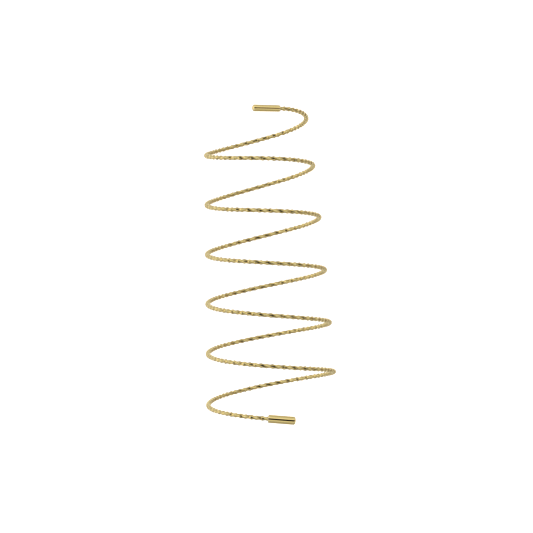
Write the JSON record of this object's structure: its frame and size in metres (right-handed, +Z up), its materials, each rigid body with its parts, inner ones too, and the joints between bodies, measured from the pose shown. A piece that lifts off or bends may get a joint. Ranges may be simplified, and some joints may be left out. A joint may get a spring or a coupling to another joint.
{
  "type": "spring coil toy",
  "caption": "Long open left-hand coil of springy faceted gold wire that widens downwards, with a polished round cap on each end; it stretches and closes like a spring.",
  "frame": {"origin": "middle of the upper cap's barrel, where the coil is held", "axes": "+Z up along the coil, +X to the right, +Y away from the side that both caps are on"},
  "size_m": [0.0675, 0.0692, 0.1597],
  "materials": {
    "wire_gold": "bright, six twisted sides with a scoop cut across them every few millimetres",
    "cap_gold": "polished"
  },
  "bodies": {
    "upper_end": {"upper_end_cap": "cap_gold", "wire_arc_01": "wire_gold"},
    "arc_02": {"wire_arc_02": "wire_gold"},
    "arc_03": {"wire_arc_03": "wire_gold"},
    "arc_04": {"wire_arc_04": "wire_gold"},
    "arc_05": {"wire_arc_05": "wire_gold"},
    "arc_06": {"wire_arc_06": "wire_gold"},
    "arc_07": {"wire_arc_07": "wire_gold"},
    "arc_08": {"wire_arc_08": "wire_gold"},
    "arc_09": {"wire_arc_09": "wire_gold"},
    "arc_10": {"wire_arc_10": "wire_gold"},
    "arc_11": {"wire_arc_11": "wire_gold"},
    "arc_12": {"wire_arc_12": "wire_gold"},
    "arc_13": {"wire_arc_13": "wire_gold"},
    "arc_14": {"wire_arc_14": "wire_gold"},
    "arc_15": {"wire_arc_15": "wire_gold"},
    "arc_16": {"wire_arc_16": "wire_gold"},
    "arc_17": {"wire_arc_17": "wire_gold"},
    "arc_18": {"wire_arc_18": "wire_gold"},
    "arc_19": {"wire_arc_19": "wire_gold"},
    "arc_20": {"wire_arc_20": "wire_gold"},
    "arc_21": {"wire_arc_21": "wire_gold"},
    "arc_22": {"wire_arc_22": "wire_gold"},
    "arc_23": {"wire_arc_23": "wire_gold"},
    "lower_end": {"wire_arc_24": "wire_gold", "lower_end_cap": "cap_gold"}
  },
  "joints": [
    {"name": "coil_stretch", "type": "hinge", "parent": "upper_end", "child": "arc_02", "pos_m": [0.01809, 0.0375, -0.00585], "axis": [0.4244, -0.8804, 0.2117], "range_deg": [-11.5, 12], "stiffness_Nm_per_rad": 2.058},
    {"name": "coil_twist_02", "type": "hinge", "parent": "arc_02", "child": "arc_03", "pos_m": [-0.01581, 0.04945, -0.01604], "axis": [0.8753, 0.4144, 0.2493], "range_deg": [-11.37, 11.86], "stiffness_Nm_per_rad": 2.029},
    {"name": "coil_twist_03", "type": "hinge", "parent": "arc_03", "child": "arc_04", "pos_m": [-0.02829, 0.01482, -0.02361], "axis": [-0.4099, 0.9069, 0.0971], "range_deg": [-11.19, 11.68], "stiffness_Nm_per_rad": 2.01},
    {"name": "coil_twist_04", "type": "hinge", "parent": "arc_04", "child": "arc_05", "pos_m": [0.00702, 0.00087, -0.02527], "axis": [-0.9256, -0.3777, 0.0232], "range_deg": [-11.03, 11.51], "stiffness_Nm_per_rad": 1.985},
    {"name": "coil_twist_05", "type": "hinge", "parent": "arc_05", "child": "arc_06", "pos_m": [0.02242, 0.0359, -0.02916], "axis": [0.3455, -0.9208, 0.181], "range_deg": [-10.87, 11.34], "stiffness_Nm_per_rad": 1.945},
    {"name": "coil_twist_06", "type": "hinge", "parent": "arc_06", "child": "arc_07", "pos_m": [-0.01231, 0.05188, -0.03984], "axis": [0.9057, 0.3296, 0.2666], "range_deg": [-10.73, 11.19], "stiffness_Nm_per_rad": 1.909},
    {"name": "coil_twist_07", "type": "hinge", "parent": "arc_07", "child": "arc_08", "pos_m": [-0.0289, 0.01662, -0.04897], "axis": [-0.3233, 0.9384, 0.1221], "range_deg": [-10.59, 11.05], "stiffness_Nm_per_rad": 1.897},
    {"name": "coil_twist_08", "type": "hinge", "parent": "arc_08", "child": "arc_09", "pos_m": [0.00682, -0.00142, -0.05145], "axis": [-0.9558, -0.2927, 0.0289], "range_deg": [-10.46, 10.91], "stiffness_Nm_per_rad": 1.884},
    {"name": "coil_twist_09", "type": "hinge", "parent": "arc_09", "child": "arc_10", "pos_m": [0.0263, 0.03389, -0.05516], "axis": [0.2618, -0.952, 0.1586], "range_deg": [-10.33, 10.78], "stiffness_Nm_per_rad": 1.853},
    {"name": "coil_twist_10", "type": "hinge", "parent": "arc_10", "child": "arc_11", "pos_m": [-0.00859, 0.05402, -0.06503], "axis": [0.9393, 0.2459, 0.2391], "range_deg": [-10.21, 10.66], "stiffness_Nm_per_rad": 1.825},
    {"name": "coil_twist_11", "type": "hinge", "parent": "arc_11", "child": "arc_12", "pos_m": [-0.02938, 0.01882, -0.07401], "axis": [-0.2346, 0.9634, 0.1297], "range_deg": [-10.1, 10.54], "stiffness_Nm_per_rad": 1.812},
    {"name": "coil_twist_12", "type": "hinge", "parent": "arc_12", "child": "arc_13", "pos_m": [0.00606, -0.00339, -0.07762], "axis": [-0.9774, -0.2046, 0.0538], "range_deg": [-10, 10.43], "stiffness_Nm_per_rad": 1.8},
    {"name": "coil_twist_13", "type": "hinge", "parent": "arc_13", "child": "arc_14", "pos_m": [0.02967, 0.03152, -0.08178], "axis": [0.175, -0.9744, 0.1408], "range_deg": [-9.9, 10.33], "stiffness_Nm_per_rad": 1.78},
    {"name": "coil_twist_14", "type": "hinge", "parent": "arc_14", "child": "arc_15", "pos_m": [-0.0047, 0.05581, -0.09048], "axis": [0.9661, 0.1591, 0.2034], "range_deg": [-9.8, 10.23], "stiffness_Nm_per_rad": 1.759},
    {"name": "coil_twist_15", "type": "hinge", "parent": "arc_15", "child": "arc_16", "pos_m": [-0.02968, 0.02135, -0.09896], "axis": [-0.144, 0.9802, 0.1359], "range_deg": [-9.71, 10.13], "stiffness_Nm_per_rad": 1.745},
    {"name": "coil_twist_16", "type": "hinge", "parent": "arc_16", "child": "arc_17", "pos_m": [0.00481, -0.005, -0.1037], "axis": [-0.9904, -0.1147, 0.0768], "range_deg": [-9.63, 10.05], "stiffness_Nm_per_rad": 1.733},
    {"name": "coil_twist_17", "type": "hinge", "parent": "arc_17", "child": "arc_18", "pos_m": [0.03248, 0.02885, -0.1083], "axis": [0.086, -0.9883, 0.1262], "range_deg": [-9.55, 9.96], "stiffness_Nm_per_rad": 1.72},
    {"name": "coil_twist_18", "type": "hinge", "parent": "arc_18", "child": "arc_19", "pos_m": [-0.0007, 0.05722, -0.11608], "axis": [0.9815, 0.0693, 0.1785], "range_deg": [-9.47, 9.88], "stiffness_Nm_per_rad": 1.705},
    {"name": "coil_twist_19", "type": "hinge", "parent": "arc_19", "child": "arc_20", "pos_m": [-0.02977, 0.02414, -0.12412], "axis": [-0.0523, 0.9899, 0.1316], "range_deg": [-9.4, 9.81], "stiffness_Nm_per_rad": 1.692},
    {"name": "coil_twist_20", "type": "hinge", "parent": "arc_20", "child": "arc_21", "pos_m": [0.00314, -0.00619, -0.12886], "axis": [-0.9972, -0.0238, 0.0706], "range_deg": [-9.34, 9.74], "stiffness_Nm_per_rad": 1.682},
    {"name": "coil_twist_21", "type": "hinge", "parent": "arc_21", "child": "arc_22", "pos_m": [0.0347, 0.02595, -0.13313], "axis": [-0.0042, -0.9929, 0.1187], "range_deg": [-9.27, 9.67], "stiffness_Nm_per_rad": 1.669},
    {"name": "coil_twist_22", "type": "hinge", "parent": "arc_22", "child": "arc_23", "pos_m": [0.00333, 0.05819, -0.14125], "axis": [0.9816, -0.0218, 0.1895], "range_deg": [-9.21, 9.61], "stiffness_Nm_per_rad": 1.655},
    {"name": "coil_twist_23", "type": "hinge", "parent": "arc_23", "child": "lower_end", "pos_m": [-0.02959, 0.02713, -0.14997], "axis": [0.04, 0.9908, 0.1294], "range_deg": [-9.16, 9.55], "stiffness_Nm_per_rad": 1.647}
  ],
  "couplings": [
    {"joint": "coil_twist_02", "follows": "coil_stretch", "ratio": 0.984},
    {"joint": "coil_twist_03", "follows": "coil_stretch", "ratio": 0.9689},
    {"joint": "coil_twist_04", "follows": "coil_stretch", "ratio": 0.9547},
    {"joint": "coil_twist_05", "follows": "coil_stretch", "ratio": 0.9412},
    {"joint": "coil_twist_06", "follows": "coil_stretch", "ratio": 0.9285},
    {"joint": "coil_twist_07", "follows": "coil_stretch", "ratio": 0.9164},
    {"joint": "coil_twist_08", "follows": "coil_stretch", "ratio": 0.905},
    {"joint": "coil_twist_09", "follows": "coil_stretch", "ratio": 0.8941},
    {"joint": "coil_twist_10", "follows": "coil_stretch", "ratio": 0.8839},
    {"joint": "coil_twist_11", "follows": "coil_stretch", "ratio": 0.8742},
    {"joint": "coil_twist_12", "follows": "coil_stretch", "ratio": 0.865},
    {"joint": "coil_twist_13", "follows": "coil_stretch", "ratio": 0.8563},
    {"joint": "coil_twist_14", "follows": "coil_stretch", "ratio": 0.8481},
    {"joint": "coil_twist_15", "follows": "coil_stretch", "ratio": 0.8403},
    {"joint": "coil_twist_16", "follows": "coil_stretch", "ratio": 0.833},
    {"joint": "coil_twist_17", "follows": "coil_stretch", "ratio": 0.826},
    {"joint": "coil_twist_18", "follows": "coil_stretch", "ratio": 0.8195},
    {"joint": "coil_twist_19", "follows": "coil_stretch", "ratio": 0.8133},
    {"joint": "coil_twist_20", "follows": "coil_stretch", "ratio": 0.8075},
    {"joint": "coil_twist_21", "follows": "coil_stretch", "ratio": 0.802},
    {"joint": "coil_twist_22", "follows": "coil_stretch", "ratio": 0.7968},
    {"joint": "coil_twist_23", "follows": "coil_stretch", "ratio": 0.792}
  ]
}
